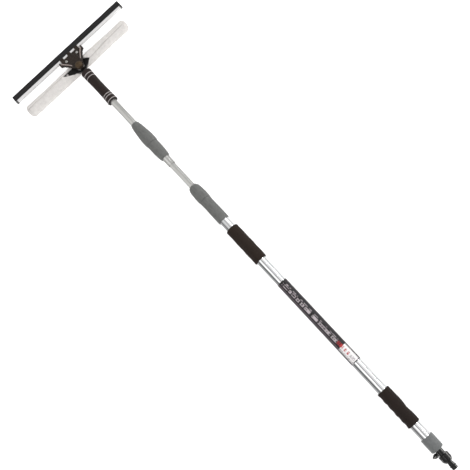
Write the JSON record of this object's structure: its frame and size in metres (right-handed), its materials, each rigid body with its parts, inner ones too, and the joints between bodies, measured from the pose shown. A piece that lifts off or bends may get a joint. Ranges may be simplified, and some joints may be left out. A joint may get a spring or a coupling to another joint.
{
  "type": "telescopic window squeegee",
  "caption": "Telescopic water-fed window squeegee: rubber blade in a claw bracket, fleece washer sleeve, ribbed grip, twist-lock pole with foam grips and a hose valve.",
  "frame": {"origin": "centre of the hose spigot's end face, on the pole's axis", "axes": "+X along the pole to the squeegee head, +Z out of the side that carries the pivot knob, +Y along the blade, to the side that the valve key points to at rest"},
  "size_m": [1.3234, 0.36, 0.0474],
  "materials": {
    "black_plastic": "satin black moulding",
    "gloss_black": "glossy black moulding",
    "white_plastic": "natural white",
    "grey_plastic": "mid grey, fine ribs",
    "bracket_plastic": "brown-black, glossy",
    "ring_plastic": "light grey",
    "tube_aluminium": "polished tube",
    "channel_aluminium": "satin",
    "screw_steel": "plated",
    "bronze": "dull bronze",
    "blade_rubber": "smooth charcoal",
    "seal_rubber": "black",
    "grip_rubber": "ribbed black",
    "foam": "closed-cell foam",
    "label_film": "printed film",
    "fleece": "white pile"
  },
  "bodies": {
    "outer_pole": {"hose_spigot": "black_plastic", "spigot_oring": "seal_rubber", "hose_gasket": "seal_rubber", "valve_body": "gloss_black", "valve_seats": "white_plastic", "end_collar": "grey_plastic", "collar_plug": "black_plastic", "plug_seals": "seal_rubber", "outer_tube": "tube_aluminium", "lower_foam_grip": "foam", "upper_foam_grip": "foam", "pole_label": "label_film", "lower_lock_body": "grey_plastic", "lower_lock_seal": "seal_rubber", "lower_collet": "white_plastic"},
    "coupling": {"coupling_nut": "gloss_black"},
    "valve": {"valve_ball": "gloss_black", "valve_key": "gloss_black"},
    "lower_nut": {"lower_lock_nut": "grey_plastic"},
    "inner_pole": {"inner_tube": "tube_aluminium", "piston_bush": "white_plastic", "piston_seals": "seal_rubber", "ferrule": "tube_aluminium", "upper_lock_body": "grey_plastic", "upper_lock_seal": "seal_rubber", "upper_collet": "white_plastic"},
    "upper_nut": {"upper_lock_nut": "grey_plastic"},
    "handle": {"top_tube": "tube_aluminium", "handle_grip": "grip_rubber", "grip_rings": "ring_plastic", "swivel_neck": "black_plastic", "water_jet": "black_plastic"},
    "head": {"pivot_bolt": "screw_steel", "pivot_washer": "screw_steel", "claw_bracket": "bracket_plastic", "rear_jaw": "bracket_plastic", "jaw_screws": "screw_steel", "squeegee_channel": "channel_aluminium", "squeegee_rubber": "blade_rubber", "channel_end_caps": "black_plastic", "washer_bar": "black_plastic", "bar_end_plugs": "black_plastic", "washer_sleeve": "fleece", "sleeve_snaps": "ring_plastic"},
    "knob": {"pivot_knob": "bronze"}
  },
  "joints": [
    {"name": "pole_slide", "type": "slide", "parent": "outer_pole", "child": "inner_pole", "axis": [1, 0, 0], "range_m": [-0.07, 0.55]},
    {"name": "handle_slide", "type": "slide", "parent": "inner_pole", "child": "handle", "axis": [1, 0, 0], "range_m": [-0.066, 0.02]},
    {"name": "head_swivel", "type": "hinge", "parent": "handle", "child": "head", "pos_m": [1.2559, 0, 0], "axis": [0, 0, 1], "range_deg": [-20, 20]},
    {"name": "knob_turn", "type": "hinge", "parent": "head", "child": "knob", "pos_m": [1.2559, 0, 0.00905], "axis": [0, 0, 1], "range_deg": [0, 180]},
    {"name": "lower_lock_turn", "type": "hinge", "parent": "outer_pole", "child": "lower_nut", "pos_m": [0.7733, 0, 0], "axis": [1, 0, 0], "range_deg": [0, 120]},
    {"name": "upper_lock_turn", "type": "hinge", "parent": "inner_pole", "child": "upper_nut", "pos_m": [0.9672, 0, 0], "axis": [1, 0, 0], "range_deg": [0, 120]},
    {"name": "valve_turn", "type": "hinge", "parent": "outer_pole", "child": "valve", "pos_m": [0.0411, 0, 0], "axis": [0, 1, 0], "range_deg": [0, 90]},
    {"name": "coupling_turn", "type": "hinge", "parent": "outer_pole", "child": "coupling", "pos_m": [0.0175, 0, 0], "axis": [1, 0, 0], "range_deg": [0, 360]}
  ]
}
